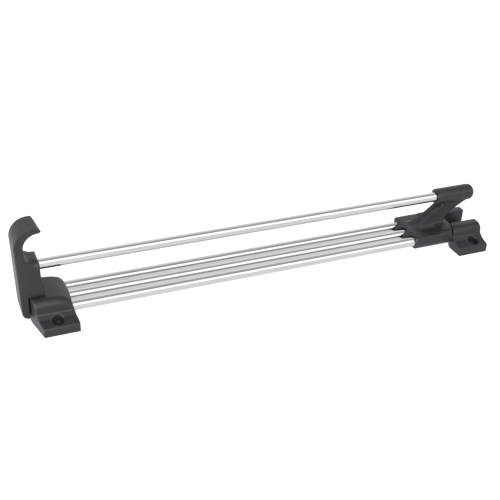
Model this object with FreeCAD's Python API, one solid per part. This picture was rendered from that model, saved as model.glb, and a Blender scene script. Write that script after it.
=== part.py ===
import FreeCAD, Part
import math
import os

from FreeCAD import Vector

# Pull-out clothes rail, standing on the two feet that screw to the shelf above it in use.
# X runs along the tubes from the handle to the rear foot, Y across them, Z up from the
# mounting plane. The origin is the middle of the footprint, on the mounting plane.

# Overall sizes
OVERALL_LENGTH = 489.0

# Tubes
TUBE_DIAMETER = 10.0
TUBE_WALL = 1.0
TUBE_PITCH = 17.2
TUBE_HEIGHT = 14.8
RAIL_HEIGHT = 54.6
SOCKET_CLEARANCE = 0.05
RUNNING_CLEARANCE = 0.05

# Feet, outline seen along the tubes
FOOT_HALF_WIDTH = 38.0
FLANGE_EDGE_HEIGHT = 9.0
FLANGE_ROOT_Y = 29.0
FLANGE_ROOT_HEIGHT = 12.0
WALL_FOOT_Y = 24.5
WALL_FOOT_HEIGHT = 15.4
WALL_TOP_Y = 23.2
SHOULDER_RADIUS = 5.5
FOOT_EDGE_CHAMFER = 0.8

# Front foot
FRONT_FOOT_LENGTH = 38.0
FRONT_FOOT_TOP = 27.6
FRONT_FOOT_BACK_TOP = 23.0
FRONT_FOOT_LEVEL_SHARE = 0.33
FRONT_FOOT_KNEE_SHARE = 0.74
FRONT_FOOT_KNEE_FALL_SHARE = 0.3
FRONT_FOOT_TAPER = 5.6
FRONT_FOOT_TAPER_START = 10.0
FRONT_FLANGE_SWEEP = 2.0
FRONT_HOLE_INSET = 16.5

# Rear foot
REAR_FOOT_LENGTH = 34.5
REAR_FOOT_TOP = 24.0
REAR_HOLE_INSET = 13.5
CHANNEL_HALF_WIDTH = 10.4
CHANNEL_FLOOR = 9.0
REAR_SEAT_DEPTH = 4.5
BUFFER_LENGTH = 5.0
BUFFER_RADIUS = 6.1
BUFFER_GAP = 0.3

# Screw holes in the flanges, and the hollows under the feet
HOLE_EDGE_DISTANCE = 7.0
HOLE_RADIUS = 2.6
COUNTERBORE_RADIUS = 5.3
COUNTERBORE_DEPTH = 4.2
FOOT_SOCKET_DEPTH = 28.0
CORE_DEPTH = 6.2
CORE_WALL = 2.6
CORE_RIB = 2.2
CORE_WIDTH = 20.9

# Bushes that the moving tubes and the carriage run on
BUSH_WALL = 1.4

# Carriage
CARRIAGE_LENGTH = 57.0
CARRIAGE_WALL = 2.9
CARRIAGE_DECK_TOP = 22.7
CARRIAGE_HUMP_TOP = 24.9
CARRIAGE_HUMP_START = 35.0
CARRIAGE_HUMP_RISE = 4.0
CARRIAGE_CREST_RADIUS = 4.6
CARRIAGE_BACK_RADIUS = 45.0
CARRIAGE_BACK_ROUND = 2.0
NOSE_LENGTH = 9.0
NOSE_DROP = 5.2
MOUTH_DEPTH = 8.0
CHIN_HEIGHT = 6.0
CENTRE_SOCKET_DEPTH = 34.0
CLOSED_GAP = 0.5

# Leaning arm and rail sleeve on the carriage
SLEEVE_WALL = 3.5
SLEEVE_LENGTH = 46.4
SLEEVE_OVERHANG = 28.8
SLEEVE_SOCKET_DEPTH = 40.0
SLEEVE_DOME_LENGTH = 5.2
SLEEVE_DOME_DROP = 1.2
SLEEVE_END_RADIUS = 3.6
ARM_CORNER_CUT = 1.8
ARM_BASE_HALF_WIDTH = 9.5
ARM_BASE_FRONT_SET = 15.0
ARM_BASE_BACK_SET = 8.0
ARM_TOP_FRONT_SET = 7.0
ARM_TOP_BACK_SET = 10.0
ARM_TOP_DROP = 6.6

# Arm stations from the deck to the sleeve: share of the height, shares of the way that the front
# and the back lean over, and share of the width at the base
ARM_STATION_SHARES = [
    (0.0, 0.0, 0.0, 1.0),
    (0.26, 0.21, 0.05, 0.67),
    (0.6, 0.58, 0.39, 0.57),
    (1.0, 1.0, 1.0, 0.67),
]

# Handle
HANDLE_HALF_WIDTH = 12.7
HANDLE_LEAN = 1.4
LIP_THICKNESS = 7.0
LIP_BOTTOM = 6.0
LIP_GAP = 0.5
LIP_CORNER_RADIUS = 5.0
BODY_BOTTOM_GAP = 0.5
BODY_DEPTH = 19.4
BODY_FLARE = 2.4
SHOULDER_COVER = 4.2
SHOULDER_ROUND = 3.5
SHOULDER_SIDE_RADIUS = 8.0
HOOK_WALL = 6.4
HOOK_CREST_RADIUS = 16.5
HOOK_CREST_WALL = 5.2
HOOK_REACH = 22.6
HOOK_TIP_SLANT = 3.7
THROAT_RADIUS = 14.7
THROAT_OPENING = 28.0
THROAT_FOOT_RADIUS = 5.6
HANDLE_FACE_CHAMFER = 1.5
HANDLE_EDGE_CHAMFER = 0.7
RAIL_SOCKET_DEPTH = 16.5
LIP_SOCKET_DEPTH = 4.7

# Screws and tube plugs
SCREW_SHANK_RADIUS = 1.6
SCREW_HEAD_RADIUS = 3.1
SCREW_HEAD_LENGTH = 2.2
SCREW_RECESS_WIDTH = 0.9
SCREW_RECESS_DEPTH = 1.2
SCREW_HEAD_SINK = 0.4
SCREW_CLEARANCE = 0.1
SLEEVE_SCREW_BITE = 11.0
SCREW_BOSS_HALF = 4.6
SCREW_SETBACK = 8.0
SET_SCREW_RADIUS = 1.5
SET_SCREW_RECESS_RADIUS = 0.8
SCREW_HEAD_SIDES = 6
PLUG_SIDES = 8
PLUG_LENGTH = 16.0
PLUG_CLEARANCE = 0.05

# One overrun serves every cut that has to pass a face.
OVERRUN = 1.0

# Derived places along X
HANDLE_FACE = -OVERALL_LENGTH / 2
LIP_BACK = HANDLE_FACE + LIP_THICKNESS
FRONT_FOOT_FRONT = LIP_BACK + LIP_GAP
FRONT_FOOT_BACK = FRONT_FOOT_FRONT + FRONT_FOOT_LENGTH
REAR_FOOT_BACK = OVERALL_LENGTH / 2
REAR_FOOT_FRONT = REAR_FOOT_BACK - REAR_FOOT_LENGTH
CARRIAGE_BACK = REAR_FOOT_FRONT + REAR_SEAT_DEPTH - CLOSED_GAP
CARRIAGE_FRONT = CARRIAGE_BACK - CARRIAGE_LENGTH
SLEEVE_BACK = CARRIAGE_BACK + SLEEVE_OVERHANG
SLEEVE_FRONT = SLEEVE_BACK - SLEEVE_LENGTH

# Derived place of the screw holes across the feet
HOLE_HALF_SPACING = FOOT_HALF_WIDTH - HOLE_EDGE_DISTANCE

# Derived radii and heights
TUBE_RADIUS = TUBE_DIAMETER / 2
TUBE_BORE_RADIUS = TUBE_RADIUS - TUBE_WALL
SOCKET_RADIUS = TUBE_RADIUS + SOCKET_CLEARANCE
BUSH_RADIUS = TUBE_RADIUS + RUNNING_CLEARANCE + BUSH_WALL
BUSH_SEAT_RADIUS = BUSH_RADIUS + SOCKET_CLEARANCE
LOBE_RADIUS = TUBE_RADIUS + CARRIAGE_WALL
BODY_BOTTOM = FRONT_FOOT_TOP + BODY_BOTTOM_GAP
SHOULDER_HEIGHT = RAIL_HEIGHT + TUBE_RADIUS + SHOULDER_COVER
THROAT_TOP_HEIGHT = SHOULDER_HEIGHT + THROAT_OPENING
HANDLE_TOP = THROAT_TOP_HEIGHT + HOOK_CREST_WALL
CARRIAGE_BOTTOM = TUBE_HEIGHT - LOBE_RADIUS

os.makedirs("parts", exist_ok=True)


def save(name, *solids):
    """Write one sub-part, as a single solid or as a group of separate solids."""
    shape = solids[0] if len(solids) == 1 else Part.makeCompound(list(solids))
    shape.exportStep(os.path.join("parts", name + ".step"))


def block(x0, x1, y0, y1, z0, z1):
    """A box between two opposite corners."""
    return Part.makeBox(x1 - x0, y1 - y0, z1 - z0, Vector(x0, y0, z0))


def rod(x0, x1, y, z, radius):
    """A cylinder along X."""
    return Part.makeCylinder(radius, x1 - x0, Vector(x0, y, z), Vector(1, 0, 0))


def post(x, y, z0, z1, radius):
    """A cylinder along Z."""
    return Part.makeCylinder(radius, z1 - z0, Vector(x, y, z0), Vector(0, 0, 1))


def line(a, b):
    return Part.LineSegment(a, b).toShape()


def arc(a, middle, b):
    return Part.Arc(a, middle, b).toShape()


def arc_about(centre, radius, start, end, place):
    """An arc about a centre, between two angles in degrees, on the plane that place maps to."""
    def at(angle):
        turn = math.radians(angle)
        return place(centre[0] + radius * math.cos(turn), centre[1] + radius * math.sin(turn))
    return arc(at(start), at((start + end) / 2), at(end))


def polygon(points, place):
    """Straight edges through flat points."""
    placed = [place(*point) for point in points]
    return [line(a, b) for a, b in zip(placed, placed[1:])]


def prism(edges, travel):
    """Push a closed outline along a straight path."""
    return Part.Face(Part.Wire(edges)).extrude(travel)


def across(x):
    """Flat (y, z) points on a plane square to the tubes."""
    return lambda y, z: Vector(x, y, z)


def upright(y):
    """Flat (x, z) points on a plane along the tubes."""
    return lambda x, z: Vector(x, y, z)


def level(z):
    """Flat (x, y) points on a horizontal plane."""
    return lambda x, y: Vector(x, y, z)


def edges_where(shape, test):
    """The edges whose middle point passes a test."""
    chosen = []
    for edge in shape.Edges:
        middle = edge.valueAt((edge.FirstParameter + edge.LastParameter) / 2)
        if test(edge, middle):
            chosen.append(edge)
    return chosen


def tube(x0, x1, y, z):
    """A round steel tube along X."""
    bore = rod(x0 - OVERRUN, x1 + OVERRUN, y, z, TUBE_BORE_RADIUS)
    return rod(x0, x1, y, z, TUBE_RADIUS).cut(bore)


def many_sided(centre, reach, sides, travel):
    """A prism with equal sides, from an outline whose first corner lies at reach from the centre."""
    turn = FreeCAD.Rotation(travel, 360 / sides)
    corners = [centre + reach]
    for _ in range(sides):
        reach = turn.multVec(reach)
        corners.append(centre + reach)
    return prism([line(a, b) for a, b in zip(corners, corners[1:])], travel)


def plug(x0, x1, y, z):
    """An eight-sided nylon plug that backs the wall of a tube end."""
    reach = Vector(0, 0, TUBE_BORE_RADIUS - PLUG_CLEARANCE)
    return many_sided(Vector(x0, y, z), reach, PLUG_SIDES, Vector(x1 - x0, 0, 0))


def aimed(shape, start, along):
    """Place a shape that was built on the Z axis so that it starts at a point and runs along a line."""
    shape.Placement = FreeCAD.Placement(start, FreeCAD.Rotation(Vector(0, 0, 1), along))
    return shape


def screw(start, along, length):
    """A six-sided head screw with a cross recess, from the top of its head to its tip."""
    corner = Vector(SCREW_HEAD_RADIUS, 0, 0)
    head = many_sided(Vector(0, 0, 0), corner, SCREW_HEAD_SIDES, Vector(0, 0, SCREW_HEAD_LENGTH))
    body = head.fuse(post(0, 0, SCREW_HEAD_LENGTH, length, SCREW_SHANK_RADIUS))
    reach = SCREW_SHANK_RADIUS
    half = SCREW_RECESS_WIDTH / 2
    slots = [
        block(-reach, reach, -half, half, -OVERRUN, SCREW_RECESS_DEPTH),
        block(-half, half, -reach, reach, -OVERRUN, SCREW_RECESS_DEPTH),
    ]
    return aimed(body.cut(slots).removeSplitter(), start, along)


def screw_path(start, along, length):
    """The hole for a screw, counterbored for its head and open behind it."""
    head_end = SCREW_HEAD_LENGTH + SCREW_CLEARANCE
    hole = post(0, 0, -OVERRUN, length + SCREW_CLEARANCE, SCREW_SHANK_RADIUS + SCREW_CLEARANCE)
    hole = hole.fuse(post(0, 0, -OVERRUN, head_end, SCREW_HEAD_RADIUS + SCREW_CLEARANCE))
    return aimed(hole, start, along)


def set_screw(x, z0, axis_height):
    """A headless screw that bears on a tube from below, with a socket in its lower end."""
    bearing = axis_height - TUBE_RADIUS - SOCKET_CLEARANCE
    body = post(x, 0, z0, bearing, SET_SCREW_RADIUS)
    corner = Vector(SET_SCREW_RECESS_RADIUS, 0, 0)
    path = Vector(0, 0, 2 * OVERRUN)
    return body.cut(many_sided(Vector(x, 0, z0 - OVERRUN), corner, SCREW_HEAD_SIDES, path))


def set_screw_path(x, z0, axis_height):
    """The hole for a set screw, from below a face to the tube it bears on."""
    return post(x, 0, z0 - OVERRUN, axis_height, SET_SCREW_RADIUS + SCREW_CLEARANCE)


def bush(x0, x1, y):
    """A plain nylon bush on a lower tube."""
    bore = rod(x0 - OVERRUN, x1 + OVERRUN, y, TUBE_HEIGHT, TUBE_RADIUS + RUNNING_CLEARANCE)
    return rod(x0, x1, y, TUBE_HEIGHT, BUSH_RADIUS).cut(bore)


def bush_seat(x0, x1, y):
    """The pocket that a bush sits in."""
    return rod(x0, x1, y, TUBE_HEIGHT, BUSH_SEAT_RADIUS)


def foot_outline(x, top):
    """The feet's outline seen along the tubes: flanges, bevelled root, wall and broad shoulder."""
    place = across(x)
    crest = (WALL_TOP_Y - SHOULDER_RADIUS, top - SHOULDER_RADIUS)
    right = []
    for side in (1, -1):
        def turned(y, z, side=side):
            return place(side * y, z)
        right.append(
            [
                *polygon(
                    [
                        (FOOT_HALF_WIDTH, 0),
                        (FOOT_HALF_WIDTH, FLANGE_EDGE_HEIGHT),
                        (FLANGE_ROOT_Y, FLANGE_ROOT_HEIGHT),
                        (WALL_FOOT_Y, WALL_FOOT_HEIGHT),
                        (WALL_TOP_Y, crest[1]),
                    ],
                    turned,
                ),
                arc_about(crest, SHOULDER_RADIUS, 0, 90, turned),
            ]
        )
    bridge = line(place(crest[0], top), place(-crest[0], top))
    base = line(place(-FOOT_HALF_WIDTH, 0), place(FOOT_HALF_WIDTH, 0))
    return Part.Wire(Part.sortEdges([*right[0], bridge, *right[1], base])[0])


def foot_body(stations):
    """A foot, lofted straight between outlines of different heights."""
    return Part.makeLoft([foot_outline(x, top) for x, top in stations], True, True)


def front_foot_plan():
    """Seen from above, the handle end tapers to the flange tips and the flanges sweep back."""
    wide = FOOT_HALF_WIDTH + OVERRUN
    half = [
        (FRONT_FOOT_FRONT, FRONT_FOOT_TAPER_START),
        (FRONT_FOOT_FRONT + FRONT_FOOT_TAPER, wide),
        (FRONT_FOOT_BACK + FRONT_FLANGE_SWEEP, wide),
        (FRONT_FOOT_BACK, WALL_FOOT_Y),
    ]
    other = [(x, -y) for x, y in reversed(half)]
    points = [*half, *other, half[0]]
    return prism(polygon(points, level(-OVERRUN)), Vector(0, 0, FRONT_FOOT_TOP + 2 * OVERRUN))


def soften(shape):
    """Chamfer the outer ends of the flange plates."""
    def is_flange_edge(edge, middle):
        outer = abs(middle.y) > FOOT_HALF_WIDTH - SOCKET_CLEARANCE
        return outer and middle.z > FLANGE_EDGE_HEIGHT / 3
    return shape.makeChamfer(FOOT_EDGE_CHAMFER, edges_where(shape, is_flange_edge))


def flange_holes(x):
    """The two screw holes of a foot, counterbored up into the wall above them."""
    cuts = []
    seat = (FLANGE_EDGE_HEIGHT + FLANGE_ROOT_HEIGHT) / 2 - COUNTERBORE_DEPTH
    for side in (-1, 1):
        y = side * HOLE_HALF_SPACING
        cuts.append(post(x, y, -OVERRUN, FLANGE_ROOT_HEIGHT, HOLE_RADIUS))
        cuts.append(post(x, y, seat, FRONT_FOOT_TOP + OVERRUN, COUNTERBORE_RADIUS))
    return cuts


def foot_cores(x0, x1, screw_x):
    """Hollows under a foot on both sides of its screws, between a middle rib and the rim."""
    bays = ((x0 + CORE_WALL, screw_x - SCREW_BOSS_HALF), (screw_x + SCREW_BOSS_HALF, x1 - CORE_WALL))
    return [
        block(near, far, y, y + CORE_WIDTH, -OVERRUN, CORE_DEPTH)
        for near, far in bays
        for y in (-CORE_RIB / 2 - CORE_WIDTH, CORE_RIB / 2)
    ]


def foot_screw(shape, screw_x, side):
    """A screw under a foot that bears on a guide tube, or its path."""
    start = Vector(screw_x, side * TUBE_PITCH, SCREW_HEAD_SINK)
    length = TUBE_HEIGHT - TUBE_RADIUS - SOCKET_CLEARANCE - SCREW_HEAD_SINK
    return shape(start, Vector(0, 0, 1), length)


FRONT_SOCKET_END = FRONT_FOOT_BACK - FOOT_SOCKET_DEPTH
REAR_SOCKET_END = REAR_FOOT_FRONT + FOOT_SOCKET_DEPTH
FRONT_SCREW_X = FRONT_SOCKET_END + SCREW_SETBACK
REAR_SCREW_X = REAR_SOCKET_END - SCREW_SETBACK


def make_front_foot():
    level_end = FRONT_FOOT_FRONT + FRONT_FOOT_LEVEL_SHARE * FRONT_FOOT_LENGTH
    knee = FRONT_FOOT_FRONT + FRONT_FOOT_KNEE_SHARE * FRONT_FOOT_LENGTH
    fall = FRONT_FOOT_TOP - FRONT_FOOT_BACK_TOP
    body = foot_body(
        [
            (FRONT_FOOT_FRONT, FRONT_FOOT_TOP),
            (level_end, FRONT_FOOT_TOP),
            (knee, FRONT_FOOT_TOP - FRONT_FOOT_KNEE_FALL_SHARE * fall),
            (FRONT_FOOT_BACK, FRONT_FOOT_BACK_TOP),
            (FRONT_FOOT_BACK + FRONT_FLANGE_SWEEP, FRONT_FOOT_BACK_TOP),
        ]
    )
    body = soften(body.common(front_foot_plan()).removeSplitter())
    cuts = flange_holes(FRONT_FOOT_BACK - FRONT_HOLE_INSET)
    for side in (-1, 1):
        y = side * TUBE_PITCH
        cuts.append(rod(FRONT_SOCKET_END, FRONT_FOOT_BACK + OVERRUN, y, TUBE_HEIGHT, SOCKET_RADIUS))
        cuts.append(foot_screw(screw_path, FRONT_SCREW_X, side))
    cuts.append(bush_seat(FRONT_FOOT_FRONT - OVERRUN, FRONT_FOOT_BACK + OVERRUN, 0))
    cuts += foot_cores(FRONT_FOOT_FRONT, FRONT_FOOT_BACK, FRONT_SCREW_X)
    return body.cut(cuts).removeSplitter()


def make_rear_foot():
    body = soften(foot_body([(REAR_FOOT_FRONT, REAR_FOOT_TOP), (REAR_FOOT_BACK, REAR_FOOT_TOP)]))
    front = REAR_FOOT_FRONT - OVERRUN
    top = REAR_FOOT_TOP + OVERRUN
    seat_radius = CARRIAGE_BACK_RADIUS + CLOSED_GAP
    cuts = flange_holes(REAR_FOOT_BACK - REAR_HOLE_INSET)
    cuts.append(post(REAR_FOOT_FRONT + REAR_SEAT_DEPTH - seat_radius, 0, -OVERRUN, top, seat_radius))
    cuts.append(
        block(
            front,
            REAR_FOOT_BACK + OVERRUN,
            -CHANNEL_HALF_WIDTH,
            CHANNEL_HALF_WIDTH,
            CHANNEL_FLOOR,
            top,
        )
    )
    for side in (-1, 1):
        y = side * TUBE_PITCH
        cuts.append(rod(front, REAR_SOCKET_END, y, TUBE_HEIGHT, SOCKET_RADIUS))
        cuts.append(foot_screw(screw_path, REAR_SCREW_X, side))
    cuts += foot_cores(REAR_FOOT_FRONT + REAR_SEAT_DEPTH, REAR_FOOT_BACK, REAR_SCREW_X)
    return body.cut(cuts).removeSplitter()


BUFFER_FRONT = REAR_FOOT_FRONT - BUFFER_LENGTH
CARRIAGE_BUSH_FRONT = CARRIAGE_FRONT + MOUTH_DEPTH
CARRIAGE_BUSH_BACK = BUFFER_FRONT - BUFFER_GAP


def make_buffer(y):
    """A rubber ring on a guide tube, against the face of the rear foot."""
    bore = rod(BUFFER_FRONT - OVERRUN, REAR_FOOT_BACK, y, TUBE_HEIGHT, SOCKET_RADIUS)
    return rod(BUFFER_FRONT, REAR_FOOT_FRONT, y, TUBE_HEIGHT, BUFFER_RADIUS).cut(bore)


def make_guide_plugs(y):
    front = plug(FRONT_SOCKET_END, FRONT_SOCKET_END + PLUG_LENGTH, y, TUBE_HEIGHT)
    return front, plug(REAR_SOCKET_END - PLUG_LENGTH, REAR_SOCKET_END, y, TUBE_HEIGHT)


def carriage_section():
    """The carriage seen along the tubes: a slab with round edges that wrap the outer tubes."""
    place = across(CARRIAGE_FRONT)
    half = TUBE_PITCH + LOBE_RADIUS
    crest = CARRIAGE_CREST_RADIUS
    top = CARRIAGE_HUMP_TOP
    edges = [
        line(place(-TUBE_PITCH, CARRIAGE_BOTTOM), place(TUBE_PITCH, CARRIAGE_BOTTOM)),
        arc_about((TUBE_PITCH, TUBE_HEIGHT), LOBE_RADIUS, -90, 0, place),
        line(place(half, TUBE_HEIGHT), place(half, top - crest)),
        arc_about((half - crest, top - crest), crest, 0, 90, place),
        line(place(half - crest, top), place(crest - half, top)),
        arc_about((crest - half, top - crest), crest, 90, 180, place),
        line(place(-half, top - crest), place(-half, TUBE_HEIGHT)),
        arc_about((-TUBE_PITCH, TUBE_HEIGHT), LOBE_RADIUS, 180, 270, place),
    ]
    return prism(edges, Vector(CARRIAGE_LENGTH, 0, 0))


def carriage_profile():
    """The carriage from the side: beaks that point to the handle, a deck, then a low step."""
    wide = TUBE_PITCH + LOBE_RADIUS + OVERRUN
    place = upright(-wide)
    front = CARRIAGE_FRONT
    back = CARRIAGE_BACK
    step = front + CARRIAGE_HUMP_START
    top = CARRIAGE_HUMP_TOP
    bend = CARRIAGE_BACK_ROUND
    chin = CARRIAGE_BOTTOM + CHIN_HEIGHT
    edges = polygon(
        [
            (back, top - bend),
            (back, CARRIAGE_BOTTOM - OVERRUN),
            (front + MOUTH_DEPTH, CARRIAGE_BOTTOM - OVERRUN),
            (front + MOUTH_DEPTH, CARRIAGE_BOTTOM),
            (front, chin),
            (front, CARRIAGE_DECK_TOP - NOSE_DROP),
            (front + NOSE_LENGTH, CARRIAGE_DECK_TOP),
            (step, CARRIAGE_DECK_TOP),
            (step + CARRIAGE_HUMP_RISE, top),
            (back - bend, top),
        ],
        place,
    )
    edges.append(arc_about((back - bend, top - bend), bend, 90, 0, place))
    return prism(edges, Vector(0, 2 * wide, 0))


def carriage_plan():
    """The carriage from above: beaks between the tubes, straight sides and a round back."""
    height = CARRIAGE_HUMP_TOP + 2 * OVERRUN
    centre = CARRIAGE_BACK - CARRIAGE_BACK_RADIUS
    wide = TUBE_PITCH + LOBE_RADIUS + OVERRUN
    end = CARRIAGE_BACK + OVERRUN
    sides = block(CARRIAGE_FRONT + MOUTH_DEPTH, end, -wide, wide, -OVERRUN, height)
    beaks = block(CARRIAGE_FRONT, end, -TUBE_PITCH, TUBE_PITCH, -OVERRUN, height)
    past = block(centre, end + OVERRUN, -wide - OVERRUN, wide + OVERRUN, -OVERRUN, height)
    return sides.fuse(beaks).cut(past.cut(post(centre, 0, -OVERRUN, height, CARRIAGE_BACK_RADIUS)))


def arm_section(x0, x1, half_width, z):
    """One station of the arm: a rectangle with its corners cut off."""
    cut = ARM_CORNER_CUT
    side = half_width - cut
    corners = [
        (x0 + cut, -half_width),
        (x1 - cut, -half_width),
        (x1, -side),
        (x1, side),
        (x1 - cut, half_width),
        (x0 + cut, half_width),
        (x0, side),
        (x0, -side),
        (x0 + cut, -half_width),
    ]
    return Part.Wire(polygon(corners, level(z)))


def make_arm():
    """The leaning arm, flared into the carriage below and the sleeve above."""
    base = CARRIAGE_DECK_TOP - OVERRUN
    rise = RAIL_HEIGHT - ARM_TOP_DROP - base
    front = CARRIAGE_FRONT + ARM_BASE_FRONT_SET
    back = CARRIAGE_BACK - ARM_BASE_BACK_SET
    front_lean = SLEEVE_FRONT + ARM_TOP_FRONT_SET - front
    back_lean = SLEEVE_BACK - ARM_TOP_BACK_SET - back
    sections = [
        arm_section(
            front + front_share * front_lean,
            back + back_share * back_lean,
            width_share * ARM_BASE_HALF_WIDTH,
            base + height_share * rise,
        )
        for height_share, front_share, back_share, width_share in ARM_STATION_SHARES
    ]
    return Part.makeLoft(sections, True, True)


def make_sleeve():
    """The sleeve that the hanging rail is pushed into, rounded off at its closed end."""
    radius = TUBE_RADIUS + SLEEVE_WALL
    place = upright(0)
    axis = RAIL_HEIGHT
    profile = polygon(
        [
            (SLEEVE_FRONT, axis),
            (SLEEVE_FRONT, axis + radius),
            (SLEEVE_BACK - SLEEVE_DOME_LENGTH, axis + radius),
            (SLEEVE_BACK - SLEEVE_DOME_LENGTH / 2, axis + radius - SLEEVE_DOME_DROP),
            (SLEEVE_BACK, axis + SLEEVE_END_RADIUS),
            (SLEEVE_BACK, axis),
            (SLEEVE_FRONT, axis),
        ],
        place,
    )
    return Part.Face(Part.Wire(profile)).revolve(Vector(0, 0, axis), Vector(1, 0, 0), 360)


CENTRE_SOCKET_END = CARRIAGE_BUSH_FRONT + CENTRE_SOCKET_DEPTH
SLEEVE_SOCKET_END = SLEEVE_FRONT + SLEEVE_SOCKET_DEPTH
CENTRE_SCREW_X = CENTRE_SOCKET_END - SCREW_SETBACK
RAIL_START = HANDLE_FACE + BODY_DEPTH - RAIL_SOCKET_DEPTH
CENTRE_START = LIP_BACK - LIP_SOCKET_DEPTH
HANDLE_SCREW_X = RAIL_START + SCREW_SETBACK
LIP_SCREW_X = (CENTRE_START + LIP_BACK) / 2


def sleeve_screw(shape):
    """The screw through the closed end of the sleeve into the rail's plug, or its path."""
    head = SLEEVE_BACK - SCREW_HEAD_SINK
    length = head - SLEEVE_SOCKET_END + SLEEVE_SCREW_BITE
    return shape(Vector(head, 0, RAIL_HEIGHT), Vector(-1, 0, 0), length)


def handle_screw(shape):
    """The screw from the underside of the handle body up to the rail, or its path."""
    head = BODY_BOTTOM + SCREW_HEAD_SINK
    length = RAIL_HEIGHT - TUBE_RADIUS - SOCKET_CLEARANCE - head
    return shape(Vector(HANDLE_SCREW_X, 0, head), Vector(0, 0, 1), length)


def make_carriage():
    body = carriage_section().common(carriage_profile()).common(carriage_plan()).removeSplitter()
    body = body.fuse([make_arm(), make_sleeve()]).removeSplitter()
    front = CARRIAGE_FRONT - OVERRUN
    back = CARRIAGE_BACK + OVERRUN
    cuts = [bush_seat(front, back, side * TUBE_PITCH) for side in (-1, 1)]
    cuts.append(bush_seat(front, CARRIAGE_BUSH_FRONT, 0))
    cuts.append(rod(front, CENTRE_SOCKET_END, 0, TUBE_HEIGHT, SOCKET_RADIUS))
    cuts.append(rod(SLEEVE_FRONT - OVERRUN, SLEEVE_SOCKET_END, 0, RAIL_HEIGHT, SOCKET_RADIUS))
    cuts.append(set_screw_path(CENTRE_SCREW_X, CARRIAGE_BOTTOM, TUBE_HEIGHT))
    cuts.append(sleeve_screw(screw_path))
    return body.cut(cuts).removeSplitter()


def handle_outline():
    """The handle from the side: lip, body, shoulder, finger throat and curled hook."""
    place = upright(-HANDLE_HALF_WIDTH)
    face = HANDLE_FACE
    crest = (face + HOOK_CREST_RADIUS, HANDLE_TOP - HOOK_CREST_RADIUS)
    tip = face + HOOK_REACH
    throat_back = face + HOOK_WALL
    throat = (throat_back + THROAT_RADIUS, THROAT_TOP_HEIGHT - THROAT_RADIUS)
    foot = (throat_back + THROAT_FOOT_RADIUS, SHOULDER_HEIGHT + THROAT_FOOT_RADIUS)
    shoulder = (face + BODY_DEPTH - SHOULDER_ROUND, SHOULDER_HEIGHT - SHOULDER_ROUND)
    toe = (face + HANDLE_LEAN + LIP_CORNER_RADIUS, LIP_BOTTOM + LIP_CORNER_RADIUS)
    return [
        line(place(face + HANDLE_LEAN, toe[1]), place(face, crest[1])),
        arc_about(crest, HOOK_CREST_RADIUS, 180, 90, place),
        *polygon(
            [
                (crest[0], HANDLE_TOP),
                (tip - HOOK_TIP_SLANT, HANDLE_TOP),
                (tip, THROAT_TOP_HEIGHT),
                (throat[0], THROAT_TOP_HEIGHT),
            ],
            place,
        ),
        arc_about(throat, THROAT_RADIUS, 90, 180, place),
        line(place(throat_back, throat[1]), place(throat_back, foot[1])),
        arc_about(foot, THROAT_FOOT_RADIUS, 180, 270, place),
        line(place(foot[0], SHOULDER_HEIGHT), place(shoulder[0], SHOULDER_HEIGHT)),
        arc_about(shoulder, SHOULDER_ROUND, 90, 0, place),
        *polygon(
            [
                (face + BODY_DEPTH, shoulder[1]),
                (face + BODY_DEPTH, RAIL_HEIGHT - TUBE_RADIUS),
                (face + BODY_DEPTH + BODY_FLARE, BODY_BOTTOM),
                (LIP_BACK, BODY_BOTTOM),
                (LIP_BACK, LIP_BOTTOM),
                (toe[0], LIP_BOTTOM),
            ],
            place,
        ),
        arc_about(toe, LIP_CORNER_RADIUS, 270, 180, place),
    ]


def shoulder_sides():
    """What the rounded sides of the shoulder take off the handle, behind the hook's wall."""
    place = across(HANDLE_FACE + HOOK_WALL)
    radius = SHOULDER_SIDE_RADIUS
    wide = HANDLE_HALF_WIDTH + OVERRUN
    top = SHOULDER_HEIGHT + THROAT_FOOT_RADIUS
    low = SHOULDER_HEIGHT - radius
    cuts = []
    for side in (-1, 1):
        def turned(y, z, side=side):
            return place(side * y, z)
        centre = (HANDLE_HALF_WIDTH - radius, low)
        edges = [
            arc_about(centre, radius, 90, 0, turned),
            *polygon(
                [(HANDLE_HALF_WIDTH, low), (wide, low), (wide, top), (centre[0], top),
                 (centre[0], SHOULDER_HEIGHT)],
                turned,
            ),
        ]
        cuts.append(prism(edges, Vector(BODY_DEPTH, 0, 0)))
    return cuts


def make_handle():
    body = prism(handle_outline(), Vector(0, 2 * HANDLE_HALF_WIDTH, 0))
    on_side = HANDLE_HALF_WIDTH - SOCKET_CLEARANCE
    crest = (HANDLE_FACE + HOOK_CREST_RADIUS, HANDLE_TOP - HOOK_CREST_RADIUS)

    def is_outer(edge, middle):
        on_face = middle.x < HANDLE_FACE + HANDLE_LEAN and middle.z < crest[1]
        reach = math.hypot(middle.x - crest[0], middle.z - crest[1])
        on_crest = middle.z > crest[1] and reach > HOOK_CREST_RADIUS - SOCKET_CLEARANCE
        return abs(middle.y) > on_side and (on_face or on_crest)

    def is_throat(edge, middle):
        behind = middle.x > HANDLE_FACE + HOOK_WALL - SOCKET_CLEARANCE
        return (
            abs(middle.y) > on_side
            and behind
            and SHOULDER_HEIGHT + THROAT_FOOT_RADIUS < middle.z < THROAT_TOP_HEIGHT
        )

    body = body.makeChamfer(HANDLE_FACE_CHAMFER, edges_where(body, is_outer))
    body = body.makeChamfer(HANDLE_EDGE_CHAMFER, edges_where(body, is_throat))
    cuts = shoulder_sides() + [
        rod(RAIL_START, HANDLE_FACE + BODY_DEPTH + OVERRUN, 0, RAIL_HEIGHT, SOCKET_RADIUS),
        rod(CENTRE_START, LIP_BACK + OVERRUN, 0, TUBE_HEIGHT, SOCKET_RADIUS),
        set_screw_path(LIP_SCREW_X, LIP_BOTTOM, TUBE_HEIGHT),
        handle_screw(screw_path),
    ]
    return body.cut(cuts).removeSplitter()


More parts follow.
